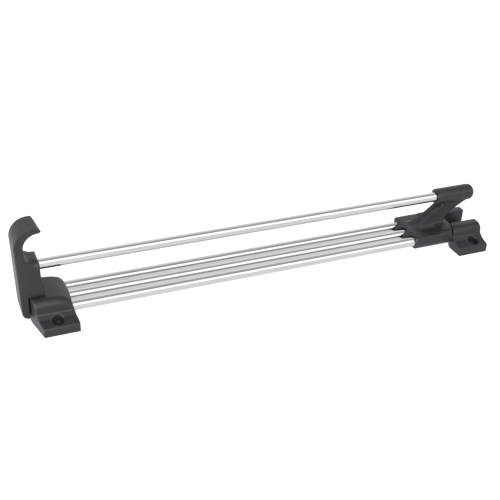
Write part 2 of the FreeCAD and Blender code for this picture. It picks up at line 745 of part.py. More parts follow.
def moving_plugs(x0, x1, z):
    """The plugs in both ends of a moving tube."""
    hole = sleeve_screw(screw_path)
    return plug(x0, x0 + PLUG_LENGTH, 0, z), plug(x1 - PLUG_LENGTH, x1, 0, z).cut(hole)


# Fixed frame
save("front_foot", make_front_foot())
save("rear_foot", make_rear_foot())
save("slide_bush", bush(FRONT_FOOT_FRONT, FRONT_FOOT_BACK, 0))
save(
    "guide_tube_screws",
    *[foot_screw(screw, x, side) for x in (FRONT_SCREW_X, REAR_SCREW_X) for side in (-1, 1)],
)

# Sliding frame
save("handle", make_handle())
save("carriage", make_carriage())
save("hanging_rail", tube(RAIL_START, SLEEVE_SOCKET_END, 0, RAIL_HEIGHT))
save("centre_slide_tube", tube(CENTRE_START, CENTRE_SOCKET_END, 0, TUBE_HEIGHT))
save("rail_plugs", *moving_plugs(RAIL_START, SLEEVE_SOCKET_END, RAIL_HEIGHT))
save("centre_tube_plugs", *moving_plugs(CENTRE_START, CENTRE_SOCKET_END, TUBE_HEIGHT))
save("rail_screws", handle_screw(screw), sleeve_screw(screw))
save(
    "centre_tube_set_screws",
    set_screw(LIP_SCREW_X, LIP_BOTTOM, TUBE_HEIGHT),
    set_screw(CENTRE_SCREW_X, CARRIAGE_BOTTOM, TUBE_HEIGHT),
)

# The guide tubes and what rides on them, right and left of the middle plane
for name, y in (("right", -TUBE_PITCH), ("left", TUBE_PITCH)):
    save("guide_tube_" + name, tube(FRONT_SOCKET_END, REAR_SOCKET_END, y, TUBE_HEIGHT))
    save("guide_tube_plugs_" + name, *make_guide_plugs(y))
    save("closing_buffer_" + name, make_buffer(y))
    save("carriage_bush_" + name, bush(CARRIAGE_BUSH_FRONT, CARRIAGE_BUSH_BACK, y))
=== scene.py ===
import math
from collections import namedtuple

import bpy
import numpy as np
from mathutils import Matrix, Vector


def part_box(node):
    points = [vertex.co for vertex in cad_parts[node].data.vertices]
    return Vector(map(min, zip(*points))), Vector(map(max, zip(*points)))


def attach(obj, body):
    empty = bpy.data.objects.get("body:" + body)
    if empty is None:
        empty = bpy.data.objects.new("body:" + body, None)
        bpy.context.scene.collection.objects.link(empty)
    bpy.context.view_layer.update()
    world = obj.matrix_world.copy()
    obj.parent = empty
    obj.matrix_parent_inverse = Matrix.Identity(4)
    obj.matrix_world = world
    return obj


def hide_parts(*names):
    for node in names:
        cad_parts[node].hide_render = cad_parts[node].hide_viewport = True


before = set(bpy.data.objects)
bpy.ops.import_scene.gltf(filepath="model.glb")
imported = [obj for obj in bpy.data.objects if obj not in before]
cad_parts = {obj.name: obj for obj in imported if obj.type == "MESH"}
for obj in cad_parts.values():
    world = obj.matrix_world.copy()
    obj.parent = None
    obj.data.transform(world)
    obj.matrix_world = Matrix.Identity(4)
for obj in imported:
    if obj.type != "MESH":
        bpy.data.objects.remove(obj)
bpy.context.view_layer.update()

# The pieces' lengths are millimetres, in the frame of the CAD nodes, and become metres in add_piece.
MM = 0.001

Box = namedtuple("Box", "x0 x1 y0 y1 z0 z1")


def box_of(node):
    """A CAD node's box in millimetres."""
    low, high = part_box(node)
    return Box(*(value / MM for pair in zip(low, high) for value in pair))


HANDLE = box_of("handle")
CARRIAGE = box_of("carriage")
FRONT = box_of("front_foot")
REAR = box_of("rear_foot")
RAIL = box_of("hanging_rail")
CENTRE = box_of("centre_slide_tube")
GUIDE = box_of("guide_tube_left")
SLIDE_BUSH = box_of("slide_bush")
CARRIAGE_BUSH = box_of("carriage_bush_left")
BUFFER = box_of("closing_buffer_left")
FOOT_SCREWS = box_of("guide_tube_screws")
RAIL_SCREWS = box_of("rail_screws")
SET_SCREWS = box_of("centre_tube_set_screws")

# Tubes and what fits them
TUBE_RADIUS = 5.0
TUBE_BORE_RADIUS = 4.0
TUBE_END_CHAMFER = 0.3
SOCKET_RADIUS = 5.05
BUSH_RADIUS = 6.45
BUSH_BORE_RADIUS = 5.05
BUSH_SEAT_RADIUS = 6.5
BUFFER_RADIUS = 6.1
RING_EDGE_CHAMFER = 0.25
SHARP_ANGLE = math.radians(30)
RAIL_Z = (RAIL.z0 + RAIL.z1) / 2
TUBE_Z = (CENTRE.z0 + CENTRE.z1) / 2
TUBE_Y = (GUIDE.y0 + GUIDE.y1) / 2
TUBE_SEGMENTS = 96
RING_SEGMENTS = 48

# Moulded pieces. The margin is in cells and not a whole number, so no flat face lies on a grid plane
CELL = 0.5
GRID_MARGIN = 1.37
SWELL_MARGIN = 2.0
OVERRUN = 1.0
EDGE_ROUND = 0.8
LIP_ROUND = 0.5
ARC_STEP = math.radians(6)
FEWEST_ARC_STEPS = 2

# Handle, measured from its front face, which swells a little past the solid
FACE_SWELL = 1.8
CREST_SWELL = 1.2
SIDE_SWELL = 0.5
HANDLE_LEAN = 1.9
LIP_THICKNESS = 8.8
BODY_DEPTH = 21.6
BODY_FLARE = 2.4
BODY_GAP = 0.5
SHOULDER_COVER = 4.8
SHOULDER_ROUND = 3.5
SHOULDER_SIDE_ROUND = 8.0
SHOULDER_FADE = 9.0
HOOK_WALL = 8.2
HOOK_CREST_ROUND = 17.8
HOOK_CREST_WALL = 5.2
HOOK_REACH = 25.6
HOOK_TIP_SLANT = 3.7
HOOK_TIP_LIFT = 1.4
HOOK_TIP_SKEW = 4.6
THROAT_ROUND = 14.7
THROAT_FOOT_ROUND = 5.6
TOE_ROUND = 6.0
FACE_CHAMFER = 1.3
CHAMFER_FADE = 12.0
TIP_ROUND = 0.3

# Feet
FLANGE_SWELL = 1.4
FRONT_TOP_SWELL = 0.9
REAR_TOP_SWELL = 1.4
FLANGE_EDGE_HEIGHT = 9.0
FLANGE_ROOT_Y = 29.0
FLANGE_ROOT_HEIGHT = 12.0
FLANGE_EDGE_ROUND = 1.2
WALL_FOOT_Y = 24.5
WALL_FOOT_HEIGHT = 15.4
WALL_TOP_Y = 23.2
WALL_ROOT_ROUND = 0.9
WALL_SHOULDER_ROUND = 7.0
FRONT_TOP_LEVEL = 12.5
FRONT_TOP_FALL = 6.2
FRONT_TOP_CURVE = 3.0
FRONT_BACK_ROUND = 3.0
FRONT_CORNER_ROUND = 3.0
FRONT_CORNER_CUT = 3.5
FRONT_TAPER = 6.2
FRONT_TAPER_START = 10.0
FRONT_SWEEP = 2.6
FRONT_HOLE_INSET = 16.5
REAR_HOLE_INSET = 13.5
HOLE_Y = 31.0
HOLE_RADIUS = 2.6
COUNTERBORE_RADIUS = 5.3
COUNTERBORE_FLOOR = 6.3
CHANNEL_HALF_WIDTH = 10.4
CHANNEL_FLOOR = 9.0
REAR_SEAT_DEPTH = 4.5
CARRIAGE_BACK_RADIUS = 45.0
CLOSED_GAP = 0.5
CORE_DEPTH = 6.2
CORE_WALL = 2.6
CORE_RIB = 2.2
CORE_WIDTH = 20.9
SCREW_BOSS_HALF = 4.6

# Carriage, arm and sleeve
CARRIAGE_BACK = REAR.x0 + REAR_SEAT_DEPTH - CLOSED_GAP
LOBE_ROUND = 7.9
CREST_ROUND = 5.6
MOUTH_DEPTH = 8.0
CHIN_HEIGHT = 6.0
DECK_TOP = 22.7
HUMP_TOP = 24.9
HUMP_START = 35.0
HUMP_RISE = 4.0
NOSE_LENGTH = 9.0
NOSE_DROP = 5.2
BACK_ROUND = 2.0
SLEEVE_RADIUS = 8.5
SLEEVE_LENGTH = 46.4
SLEEVE_DOME_RADIUS = 9.2
ARM_CORNER_ROUND = 0.9
ARM_GROOVE_WIDTH = 2.8
ARM_GROOVE_DEPTH = 3.0
ARM_ROOT_DEPTH = 1.0
ARM_BASE_HALF_WIDTH = 9.5
ARM_BASE_FRONT_SET = 15.0
ARM_BASE_BACK_SET = 8.0
ARM_TOP_FRONT_SET = 7.6
ARM_TOP_BACK_SET = 11.6
ARM_TOP_DROP = 6.6
ARM_DECK_BLEND = 4.0
ARM_SLEEVE_BLEND = 2.2

# Shares of the arm's height, of the way that its front and its back lean over, and of its base width
ARM_STATION_SHARES = [
    (0.0, 0.0, 0.0, 1.0),
    (0.26, 0.21, 0.05, 0.67),
    (0.6, 0.58, 0.39, 0.57),
    (1.0, 1.0, 1.0, 0.67),
]

# Screws
SCREW_HEAD_RADIUS = 3.1
SCREW_HEAD_LENGTH = 2.2
SCREW_HEAD_SINK = 0.4
SCREW_CROWN = 0.7
SCREW_SHANK_RADIUS = 1.6
SCREW_THREAD_DEPTH = 0.3
SCREW_THREAD_PITCH = 1.2
SCREW_RECESS_RADIUS = 1.7
SCREW_RECESS_WIDTH = 0.9
SCREW_RECESS_DEPTH = 1.2
SCREW_CELL = 0.2
SCREW_LIP_ROUND = 0.1
SCREW_CLEARANCE = 0.1
RAIL_SCREW_BITE = 8.8
SET_SCREW_RADIUS = 1.5
SET_SCREW_EDGE_ROUND = 0.2
SET_SCREW_RECESS_RADIUS = 0.8
SET_SCREW_RECESS_DEPTH = 1.0
SET_SCREW_RECESS_SIDES = 6
SET_SCREW_SINK = 1.3


# Meshes

def add_piece(name, points, faces, body, slot, material, node, sharp=None):
    """A mesh piece from points in millimetres, riding on a CAD body and standing for a CAD node."""
    mesh = bpy.data.meshes.new(name)
    mesh.from_pydata((np.asarray(points) * MM).tolist(), [], faces)
    mesh.validate()
    mesh.shade_smooth()
    if sharp is not None:
        mesh.set_sharp_from_angle(angle=sharp)
    piece = bpy.data.objects.new(name, mesh)
    bpy.context.scene.collection.objects.link(piece)
    mesh.materials.append(material)
    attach(piece, body)
    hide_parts(node)


def lathe(profile, start, along, segments=TUBE_SEGMENTS):
    """Points and faces of a closed profile of (distance along the axis, radius), turned about it."""
    axis = Vector(along).normalized()
    side = axis.orthogonal().normalized()
    other = axis.cross(side)
    points = []
    rings = []
    for distance, radius in profile:
        rings.append(range(len(points), len(points) + segments))
        for step in range(segments):
            turn = 2 * math.pi * step / segments
            spoke = side * math.cos(turn) + other * math.sin(turn)
            points.append(tuple(Vector(start) + axis * distance + spoke * radius))
    faces = []
    for ring, following in zip(rings, rings[1:] + rings[:1]):
        for step in range(segments):
            ahead = (step + 1) % segments
            faces.append([ring[step], ring[ahead], following[ahead], following[step]])
    return points, faces


def joined(parts):
    """Several (points, faces) pairs as one pair."""
    points = []
    faces = []
    for more_points, more_faces in parts:
        offset = len(points)
        points += list(more_points)
        faces += [[offset + index for index in face] for face in more_faces]
    return points, faces


def ring_profile(length, bore, radius, chamfer):
    """The profile of a tube or ring with small chamfers at its outer and inner edges."""
    return [
        (chamfer, radius),
        (length - chamfer, radius),
        (length, radius - chamfer),
        (length, bore + chamfer),
        (length - chamfer, bore),
        (chamfer, bore),
        (0, bore + chamfer),
        (0, radius - chamfer),
    ]


# Fields: signed distances sampled on a grid, negative inside

class Grid:
    """Sample points round a box, as three arrays that broadcast against each other."""

    def __init__(self, box, cell):
        self.cell = cell
        low = (box.x0, box.y0, box.z0)
        high = (box.x1, box.y1, box.z1)
        axes = [
            np.arange(a - GRID_MARGIN * cell, b + 2 * GRID_MARGIN * cell, cell)
            for a, b in zip(low, high)
        ]
        self.origin = np.array([axis[0] for axis in axes])
        self.x = axes[0][:, None, None]
        self.y = axes[1][None, :, None]
        self.z = axes[2][None, None, :]


def overlap(a, b, radius=EDGE_ROUND):
    """The common part of two fields, with a round edge where their faces meet."""
    corner = np.hypot(np.maximum(a + radius, 0), np.maximum(b + radius, 0))
    return np.minimum(np.maximum(a, b), -radius) + corner


def union(a, b, radius):
    """Both fields together, with a hollow fillet where their faces meet."""
    corner = np.hypot(np.maximum(radius - a, 0), np.maximum(radius - b, 0))
    return np.maximum(np.minimum(a, b), radius) - corner


def cut(field, tool, lip=LIP_ROUND):
    """A field without a tool, with a round lip."""
    return overlap(field, -tool, lip)


def disc(u, v, centre_u, centre_v, radius):
    """A round bar or bore, seen along its axis."""
    return np.hypot(u - centre_u, v - centre_v) - radius


def between(u, low, high):
    """What lies between two planes."""
    return np.maximum(low - u, u - high)


def eased(share):
    """A share from 0 to 1 with a level start and end."""
    return share * share * (3 - 2 * share)


def rounded_outline(corners):
    """Points of a closed outline whose corners (u, v, radius) are replaced by arcs."""
    points = []
    flat = [Vector(c[:2]) for c in corners]
    for index, (u, v, radius) in enumerate(corners):
        if radius == 0:
            points.append((u, v))
            continue
        corner = flat[index]
        back = (flat[index - 1] - corner).normalized()
        ahead = (flat[(index + 1) % len(flat)] - corner).normalized()
        half = back.angle(ahead) / 2
        centre = corner + (back + ahead).normalized() * (radius / math.sin(half))
        start = corner + back * (radius / math.tan(half)) - centre
        sweep = (corner + ahead * (radius / math.tan(half)) - centre).angle_signed(start)
        steps = max(FEWEST_ARC_STEPS, math.ceil(abs(sweep) / ARC_STEP))
        for step in range(steps + 1):
            spoke = start.copy()
            spoke.rotate(Matrix.Rotation(sweep * step / steps, 2))
            points.append(tuple(centre + spoke))
    return points


def inside_outline(points, u, v):
    """Signed distance to a closed outline, on a flat grid."""
    distance = np.full(np.broadcast(u, v).shape, np.inf)
    crossings = np.zeros(distance.shape, bool)
    for (au, av), (bu, bv) in zip(points, points[1:] + points[:1]):
        eu, ev = bu - au, bv - av
        length2 = eu * eu + ev * ev
        if length2 == 0:
            continue
        share = np.clip(((u - au) * eu + (v - av) * ev) / length2, 0, 1)
        distance = np.minimum(distance, np.hypot(u - au - share * eu, v - av - share * ev))
        if ev != 0:
            crosses = ((av <= v) & (v < bv)) | ((bv <= v) & (v < av))
            crossings ^= crosses & (u < au + (v - av) * eu / ev)
    return np.where(crossings, -distance, distance)


def surface(field, grid):
    """The zero surface of a field as quads, with one point in each cell that it passes through."""
    inside = field < 0
    cells = tuple(n - 1 for n in field.shape)
    corners = np.array([(i, j, k) for i in (0, 1) for j in (0, 1) for k in (0, 1)])
    count = np.zeros(cells, np.int8)
    for i, j, k in corners:
        count += inside[i:cells[0] + i, j:cells[1] + j, k:cells[2] + k]
    where = np.argwhere((count > 0) & (count < len(corners)))
    index = np.full(cells, -1)
    index[tuple(where.T)] = np.arange(len(where))
    total = np.zeros(where.shape)
    hits = np.zeros(len(where))
    for a in corners:
        for axis in range(3):
            if a[axis]:
                continue
            b = a.copy()
            b[axis] = 1
            at_a = field[tuple((where + a).T)]
            at_b = field[tuple((where + b).T)]
            crossing = (at_a < 0) != (at_b < 0)
            share = at_a[crossing] / (at_a[crossing] - at_b[crossing])
            total[crossing] += a + share[:, None] * (b - a)
            hits += crossing
    points = grid.origin + grid.cell * (where + total / hits[:, None])
    faces = []
    for axis in range(3):
        u, v = (axis + 1) % 3, (axis + 2) % 3
        step = np.eye(3, dtype=int)
        here = inside[tuple(slice(1, n - 1) for n in field.shape)]
        shifted = inside[tuple(slice(1 + s, n - 1 + s) for s, n in zip(step[axis], field.shape))]
        for leaving in (True, False):
            edges = np.argwhere((here != shifted) & (here == leaving)) + 1
            ring = [edges, edges - step[u], edges - step[u] - step[v], edges - step[v]]
            quads = np.stack([index[tuple(r.T)] for r in ring], 1)
            faces.append(quads if leaving else quads[:, ::-1])
    faces = np.concatenate(faces)
    return points, faces[(faces >= 0).all(1)].tolist()


# Moulded pieces

def handle_field(grid):
    """Lip, body, rounded shoulder, finger throat and curled hook."""
    x, y, z = grid.x, np.abs(grid.y), grid.z
    face = HANDLE.x0 - FACE_SWELL
    top = HANDLE.z1 + CREST_SWELL
    half_width = HANDLE.y1 + SIDE_SWELL
    shoulder = RAIL_Z + TUBE_RADIUS + SHOULDER_COVER
    throat_top = top - HOOK_CREST_WALL
    bottom = FRONT.z1 + BODY_GAP
    outline = rounded_outline(
        [
            (face + HANDLE_LEAN, HANDLE.z0, TOE_ROUND),
            (face, top - HOOK_CREST_ROUND, 0),
            (face, top, HOOK_CREST_ROUND),
            (face + HOOK_REACH - HOOK_TIP_SLANT, top, TIP_ROUND),
            (face + HOOK_REACH, throat_top + HOOK_TIP_LIFT, TIP_ROUND),
            (face + HOOK_WALL + THROAT_ROUND, throat_top, 0),
            (face + HOOK_WALL, throat_top, THROAT_ROUND),
            (face + HOOK_WALL, shoulder, THROAT_FOOT_ROUND),
            (face + BODY_DEPTH, shoulder, SHOULDER_ROUND),
            (face + BODY_DEPTH, RAIL_Z - TUBE_RADIUS, 0),
            (face + BODY_DEPTH + BODY_FLARE, bottom, EDGE_ROUND),
            (face + LIP_THICKNESS, bottom, 0),
            (face + LIP_THICKNESS, HANDLE.z0, EDGE_ROUND),
        ]
    )
    profile = inside_outline(outline, x, z)
    crest = disc(x, z, face + HOOK_CREST_ROUND, top - HOOK_CREST_ROUND, HOOK_CREST_ROUND)
    from_face = np.where(z > top - HOOK_CREST_ROUND, -crest, x - face)
    straight = np.clip((top - HOOK_CREST_ROUND - z) / CHAMFER_FADE, 0, 1)
    chamfer = (y - half_width + FACE_CHAMFER * straight - from_face) / math.sqrt(2)
    body = overlap(overlap(profile, y - half_width, LIP_ROUND), chamfer, LIP_ROUND)
    skew = HOOK_TIP_SKEW / (2 * half_width)
    tip_end = x - face - HOOK_REACH + skew * (grid.y + half_width)
    far_inside = -BODY_DEPTH
    tip_end = np.where(z > throat_top - TIP_ROUND, tip_end, far_inside)
    body = overlap(body, tip_end, TIP_ROUND)
    fade = np.clip((x - face - HOOK_WALL) / SHOULDER_FADE, 0, 1)
    side_round = SHOULDER_SIDE_ROUND * eased(fade)
    side = half_width - side_round
    low = shoulder - side_round
    corner = np.maximum(side - y, low - z)
    corner = np.maximum(corner, -disc(y, z, side, low, side_round))
    corner = np.maximum(corner, z - shoulder - THROAT_FOOT_ROUND)
    body = cut(body, np.maximum(corner, face + HOOK_WALL - x))
    rail_socket = np.maximum(disc(y, z, 0, RAIL_Z, SOCKET_RADIUS), RAIL.x0 - x)
    tube_socket = np.maximum(disc(y, z, 0, TUBE_Z, SOCKET_RADIUS), CENTRE.x0 - x)
    body = cut(body, np.maximum(rail_socket, x - face - BODY_DEPTH - BODY_FLARE))
    body = cut(body, np.maximum(tube_socket, x - face - LIP_THICKNESS - OVERRUN))
    screw_x = RAIL_SCREWS.x0 + SCREW_HEAD_RADIUS
    body = cut(body, screw_hole(x, grid.y, z, screw_x, 0, bottom, RAIL_Z))
    return cut(body, set_screw_hole(x, y, z, SET_SCREWS.x0 + SET_SCREW_RADIUS))


def screw_hole(x, y, z, hole_x, hole_y, low, high):
    """A screw's hole with its counterbore, upwards from a face."""
    radial = np.hypot(x - hole_x, y - hole_y)
    shank = np.maximum(radial - SCREW_SHANK_RADIUS - SCREW_CLEARANCE, z - high)
    deep = low + SCREW_HEAD_LENGTH + SCREW_HEAD_SINK + SCREW_CLEARANCE
    return np.minimum(shank, np.maximum(radial - SCREW_HEAD_RADIUS - SCREW_CLEARANCE, z - deep))


def set_screw_hole(x, y, z, hole_x):
    """A set screw's hole, from below up to the centre tube's axis."""
    return np.maximum(disc(x, y, hole_x, 0, SET_SCREW_RADIUS + SCREW_CLEARANCE), z - TUBE_Z)


def foot_field(grid, box, top, hole_x):
    """Flanges with a hollow root, a broad middle wall, and the two screw holes."""
    x, y, z = grid.x, np.abs(grid.y), grid.z
    half_width = box.y1 + FLANGE_SWELL
    rise = (FLANGE_ROOT_HEIGHT - FLANGE_EDGE_HEIGHT) / (half_width - FLANGE_ROOT_Y)
    band_rise = (WALL_FOOT_HEIGHT - FLANGE_ROOT_HEIGHT) / (FLANGE_ROOT_Y - WALL_FOOT_Y)
    band_top = FLANGE_ROOT_HEIGHT + band_rise * (FLANGE_ROOT_Y - y)
    flange_top = np.maximum(FLANGE_EDGE_HEIGHT + rise * (half_width - y), band_top)
    flange_top = np.minimum(flange_top, WALL_FOOT_HEIGHT)
    flange = overlap(y - half_width, (z - flange_top) * math.cos(math.atan(rise)), FLANGE_EDGE_ROUND)
    lean = (WALL_FOOT_Y - WALL_TOP_Y) / (FRONT.z1 - WALL_FOOT_HEIGHT)
    wall_side = y - WALL_FOOT_Y + lean * (z - WALL_FOOT_HEIGHT)
    wall = overlap(wall_side, z - top, WALL_SHOULDER_ROUND)
    foot = overlap(union(flange, wall, WALL_ROOT_ROUND), -z, LIP_ROUND)
    foot = overlap(foot, between(x, box.x0, box.x1))
    hole = disc(x, y, hole_x, HOLE_Y, HOLE_RADIUS)
    counterbore = np.maximum(disc(x, y, hole_x, HOLE_Y, COUNTERBORE_RADIUS), COUNTERBORE_FLOOR - z)
    return cut(cut(foot, hole), counterbore)


def foot_underside(grid, foot, box, screw_x, front_wall=CORE_WALL):
    """The screw holes and the hollows under a foot."""
    x, y, z = grid.x, np.abs(grid.y), grid.z
    foot = cut(foot, screw_hole(x, y, z, screw_x, TUBE_Y, 0, TUBE_Z))
    across = between(y, CORE_RIB / 2, CORE_RIB / 2 + CORE_WIDTH)
    for near, far in (
        (box.x0 + front_wall, screw_x - SCREW_BOSS_HALF),
        (screw_x + SCREW_BOSS_HALF, box.x1 - CORE_WALL),
    ):
        pocket = np.maximum(overlap(between(x, near, far), across), z - CORE_DEPTH)
        foot = cut(foot, pocket)
    return foot


def front_foot_field(grid):
    """The foot that carries the front ends of the guide tubes and the centre tube's bush."""
    x, y, z = grid.x, np.abs(grid.y), grid.z
    back = SLIDE_BUSH.x1
    level_end = FRONT.x0 + FRONT_TOP_LEVEL
    share = np.clip((x - level_end) / (back - level_end), 0, 1)
    top = FRONT.z1 + FRONT_TOP_SWELL - FRONT_TOP_FALL * share ** FRONT_TOP_CURVE
    foot = foot_field(grid, FRONT, top, back - FRONT_HOLE_INSET)
    across = FRONT.y1 - FRONT_TAPER_START
    taper = FRONT_TAPER * (y - FRONT_TAPER_START) - across * (x - FRONT.x0)
    foot = overlap(foot, taper / math.hypot(FRONT_TAPER, across))
    sweep = FRONT_SWEEP / (FRONT.y1 - WALL_FOOT_Y)
    high = np.clip((z - WALL_FOOT_HEIGHT) / (FRONT.z1 - WALL_FOOT_HEIGHT), 0, 1)
    corner = np.minimum(y / WALL_TOP_Y, 1) ** 2
    end = x - back - sweep * np.maximum(y - WALL_FOOT_Y, 0) + high * FRONT_CORNER_CUT * corner
    back_round = FRONT_BACK_ROUND + FRONT_CORNER_ROUND * corner
    foot = overlap(foot, end, EDGE_ROUND + high * (back_round - EDGE_ROUND))
    socket = np.maximum(disc(y, z, TUBE_Y, TUBE_Z, SOCKET_RADIUS), GUIDE.x0 - x)
    foot = cut(cut(foot, socket), disc(y, z, 0, TUBE_Z, BUSH_SEAT_RADIUS))
    front_wall = CORE_WALL + FRONT_TAPER / 2
    return foot_underside(grid, foot, FRONT, FOOT_SCREWS.x0 + SCREW_HEAD_RADIUS, front_wall)


def rear_foot_field(grid):
    """The foot behind the carriage, with a round seat for it and a channel through its top."""
    x, y, z = grid.x, np.abs(grid.y), grid.z
    foot = foot_field(grid, REAR, REAR.z1 + REAR_TOP_SWELL, REAR.x1 - REAR_HOLE_INSET)
    foot = cut(foot, np.maximum(y - CHANNEL_HALF_WIDTH, CHANNEL_FLOOR - z), EDGE_ROUND)
    seat_radius = CARRIAGE_BACK_RADIUS + CLOSED_GAP
    seat_x = REAR.x0 + REAR_SEAT_DEPTH - seat_radius
    foot = cut(foot, disc(x, y, seat_x, 0, seat_radius), EDGE_ROUND)
    foot = cut(foot, np.maximum(disc(y, z, TUBE_Y, TUBE_Z, SOCKET_RADIUS), x - GUIDE.x1))
    return foot_underside(grid, foot, REAR, FOOT_SCREWS.x1 - SCREW_HEAD_RADIUS)


def carriage_base(grid):
    """The slab that runs on the guide tubes, with beaks between them and a round back."""
    x, y, z = grid.x, np.abs(grid.y), grid.z
    wide = TUBE_Y + LOBE_ROUND
    bottom = TUBE_Z - LOBE_ROUND
    section = rounded_outline(
        [
            (-wide, bottom, LOBE_ROUND),
            (wide, bottom, LOBE_ROUND),
            (wide, HUMP_TOP, CREST_ROUND),
            (-wide, HUMP_TOP, CREST_ROUND),
        ]
    )
    front = CARRIAGE.x0
    step = front + HUMP_START
    side = rounded_outline(
        [
            (CARRIAGE_BACK, HUMP_TOP, BACK_ROUND),
            (CARRIAGE_BACK, bottom, LIP_ROUND),
            (front + MOUTH_DEPTH, bottom, 0),
            (front, bottom + CHIN_HEIGHT, LIP_ROUND),
            (front, DECK_TOP - NOSE_DROP, LIP_ROUND),
            (front + NOSE_LENGTH, DECK_TOP, NOSE_LENGTH),
            (step, DECK_TOP, HUMP_RISE),
            (step + HUMP_RISE, HUMP_TOP, HUMP_RISE),
        ]
    )
    slab = overlap(inside_outline(section, grid.y, z), inside_outline(side, x, z))
    beaks = overlap(front - x, y - TUBE_Y, LIP_ROUND)
    plan = np.minimum(front + MOUTH_DEPTH - x, beaks)
    round_back = disc(x, y, CARRIAGE_BACK - CARRIAGE_BACK_RADIUS, 0, CARRIAGE_BACK_RADIUS)
    return overlap(overlap(slab, plan, LIP_ROUND), round_back)


def arm_field(grid):
    """The leaning arm between the deck and the sleeve."""
    base = DECK_TOP - ARM_ROOT_DEPTH
    rise = RAIL_Z - ARM_TOP_DROP - base
    share = np.clip((grid.z - base) / rise, 0, 1)
    heights, fronts, backs, widths = zip(*ARM_STATION_SHARES)
    curve = len(heights) - 1
    front_share, back_share, width_share = (
        np.polyval(np.polyfit(heights, values, curve), share) for values in (fronts, backs, widths)
    )
    base_front = CARRIAGE.x0 + ARM_BASE_FRONT_SET
    base_back = CARRIAGE_BACK - ARM_BASE_BACK_SET
    top_front = CARRIAGE.x1 - SLEEVE_LENGTH + ARM_TOP_FRONT_SET
    top_back = CARRIAGE.x1 - ARM_TOP_BACK_SET
    front = base_front + front_share * (top_front - base_front)
    back = base_back + back_share * (top_back - base_back)
    half_width = ARM_BASE_HALF_WIDTH * width_share
    sides = overlap(between(grid.x, front, back), np.abs(grid.y) - half_width, ARM_CORNER_ROUND)
    groove = np.maximum(np.abs(grid.y) - ARM_GROOVE_WIDTH / 2, grid.x - front - ARM_GROOVE_DEPTH)
    sides = cut(sides, groove, LIP_ROUND)
    return np.maximum(sides, between(grid.z, base, base + rise + ARM_TOP_DROP / 2))


def sleeve_field(grid):
    """The sleeve that holds the hanging rail, domed at its closed end."""
    sleeve_front = CARRIAGE.x1 - SLEEVE_LENGTH
    centre = CARRIAGE.x1 - SLEEVE_DOME_RADIUS
    radial = np.hypot(grid.y, grid.z - RAIL_Z)
    dome = np.hypot(np.maximum(grid.x - centre, 0), radial) - SLEEVE_DOME_RADIUS
    sleeve = overlap(radial - SLEEVE_RADIUS, sleeve_front - grid.x)
    return overlap(sleeve, dome)


def carriage_field(grid):
    """Slab, arm and sleeve in one moulding, with the bores for the tubes and bushes."""
    x, y, z = grid.x, np.abs(grid.y), grid.z
    body = union(carriage_base(grid), arm_field(grid), ARM_DECK_BLEND)
    body = union(body, sleeve_field(grid), ARM_SLEEVE_BLEND)
    body = cut(body, disc(y, z, TUBE_Y, TUBE_Z, BUSH_SEAT_RADIUS))
    mouth = np.maximum(disc(y, z, 0, TUBE_Z, BUSH_SEAT_RADIUS), x - CARRIAGE_BUSH.x0)
    socket = np.maximum(disc(y, z, 0, TUBE_Z, SOCKET_RADIUS), x - CENTRE.x1)
    body = cut(body, np.minimum(mouth, socket))
    body = cut(body, np.maximum(disc(y, z, 0, RAIL_Z, SOCKET_RADIUS), x - RAIL.x1))
    hole = screw_hole(z, y, -x, RAIL_Z, 0, -RAIL_SCREWS.x1, -RAIL.x1)
    return cut(cut(body, hole), set_screw_hole(x, y, z, SET_SCREWS.x1 - SET_SCREW_RADIUS))


def add_moulding(name, field, box, body, material):
    """A moulded plastic piece that stands for the CAD node of its name."""
    low = (box.x0 - SWELL_MARGIN, box.y0 - SWELL_MARGIN, box.z0)
    high = (box.x1 + SWELL_MARGIN, box.y1 + SWELL_MARGIN, box.z1 + SWELL_MARGIN)
    grid = Grid(Box(*(value for pair in zip(low, high) for value in pair)), CELL)
    points, faces = surface(field(grid), grid)
    add_piece(name + "_moulding", points, faces, body, "black_plastic", material, name)


# Turned pieces

def add_tube(name, box, y, z, body, material):
    """A chrome tube with small chamfers at its ends."""
    length = box.x1 - box.x0
    profile = ring_profile(length, TUBE_BORE_RADIUS, TUBE_RADIUS, TUBE_END_CHAMFER)
    points, faces = lathe(profile, (box.x0, y, z), (1, 0, 0))
    add_piece(name + "_tube", points, faces, body, "chrome_tube", material, name, SHARP_ANGLE)


def add_ring(name, box, y, bore, radius, body, slot, material):
    """A bush or buffer round a lower tube."""
    profile = ring_profile(box.x1 - box.x0, bore, radius, RING_EDGE_CHAMFER)
    points, faces = lathe(profile, (box.x0, y, TUBE_Z), (1, 0, 0), RING_SEGMENTS)
    add_piece(name + "_ring", points, faces, body, slot, material, name, SHARP_ANGLE)


